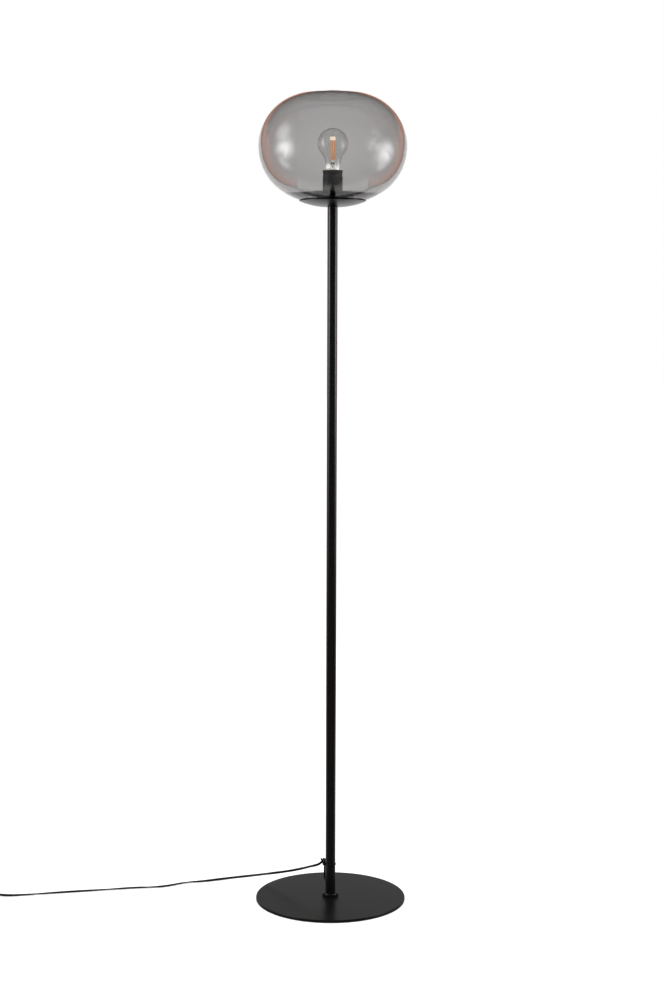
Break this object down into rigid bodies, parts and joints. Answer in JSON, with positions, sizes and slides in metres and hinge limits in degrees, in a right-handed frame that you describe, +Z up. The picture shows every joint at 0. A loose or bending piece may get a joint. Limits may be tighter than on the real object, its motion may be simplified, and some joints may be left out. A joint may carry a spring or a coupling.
{
  "type": "globe floor lamp",
  "caption": "Slim black floor lamp with a smoked glass globe, clear bulb, round base, sectioned pole, corded hand switch and plug.",
  "frame": {"origin": "centre of the base's lower face, on the floor", "axes": "+Z up along the pole, +X to the right and +Y to the back as seen from the front; the free cord lies towards -X"},
  "size_m": [0.9716, 0.2856, 1.5236],
  "materials": {
    "black_coating": "satin black powder coat",
    "black_felt": "dense felt",
    "zinc_plated_steel": "bright zinc plate",
    "black_phenolic": "satin moulded",
    "steatite": "unglazed ceramic",
    "brass": "bright stamped",
    "smoked_glass": "clear smoked, brown-grey",
    "clear_glass": "clear",
    "nickel_plate": "bright nickel plate",
    "black_glass": "gloss black glass",
    "filament_coating": "matt amber",
    "black_cord": "matt pvc jacket",
    "core_insulation": "smooth insulation",
    "black_nylon": "matt nylon",
    "silicone": "matt silicone"
  },
  "bodies": {
    "stand": {"base_plate": "black_coating", "foot_flange": "black_coating", "pole_tube_1": "black_coating", "pole_tube_2": "black_coating", "pole_tube_3": "black_coating", "pole_tube_4": "black_coating", "dish": "black_coating", "gallery": "black_coating", "holder_disc": "black_coating", "lock_nut": "black_coating", "base_pad": "black_felt", "foot_screw": "zinc_plated_steel", "joint_sockets": "zinc_plated_steel", "joint_spigots": "zinc_plated_steel", "pole_head": "zinc_plated_steel", "nipple": "zinc_plated_steel", "tooth_washer": "zinc_plated_steel", "spacer": "zinc_plated_steel", "terminal_screws": "zinc_plated_steel", "switch_screws": "zinc_plated_steel", "holder_cap": "black_phenolic", "holder_shell": "black_phenolic", "switch_base": "black_phenolic", "switch_cover": "black_phenolic", "plug_body": "black_phenolic", "pin_sleeves": "black_phenolic", "holder_core": "steatite", "screw_shell": "brass", "centre_contact": "brass", "terminals": "brass", "switch_contacts": "brass", "plug_pins": "nickel_plate", "cord_grommet": "black_cord", "inner_cable": "black_cord", "cord_lead": "black_cord", "cord_link": "black_cord", "cord_coil": "black_cord", "cord_tail": "black_cord", "cable_cores": "core_insulation", "switch_core": "core_insulation", "cord_tie": "black_nylon", "coil_tie": "black_nylon", "shade_gasket": "silicone"},
    "globe": {"glass_globe": "smoked_glass"},
    "bulb": {"bulb_glass": "clear_glass", "bulb_stem": "clear_glass", "bulb_cap": "nickel_plate", "tip_contact": "nickel_plate", "lead_wires": "nickel_plate", "cap_insulator": "black_glass", "filaments": "filament_coating", "filament_crown": "filament_coating"},
    "rocker": {"switch_rocker": "black_phenolic"}
  },
  "joints": [
    {"name": "globe_lift", "type": "slide", "parent": "stand", "child": "globe", "axis": [0, 0, 1], "range_m": [0, 0.14]},
    {"name": "bulb_turn", "type": "hinge", "parent": "stand", "child": "bulb", "pos_m": [0, 0, 1.36], "axis": [0, 0, 1], "range_deg": [0, 1080]},
    {"name": "rocker_press", "type": "hinge", "parent": "stand", "child": "rocker", "pos_m": [-0.703, 0, 0.0135], "axis": [0, 1, 0], "range_deg": [0, 14]}
  ]
}
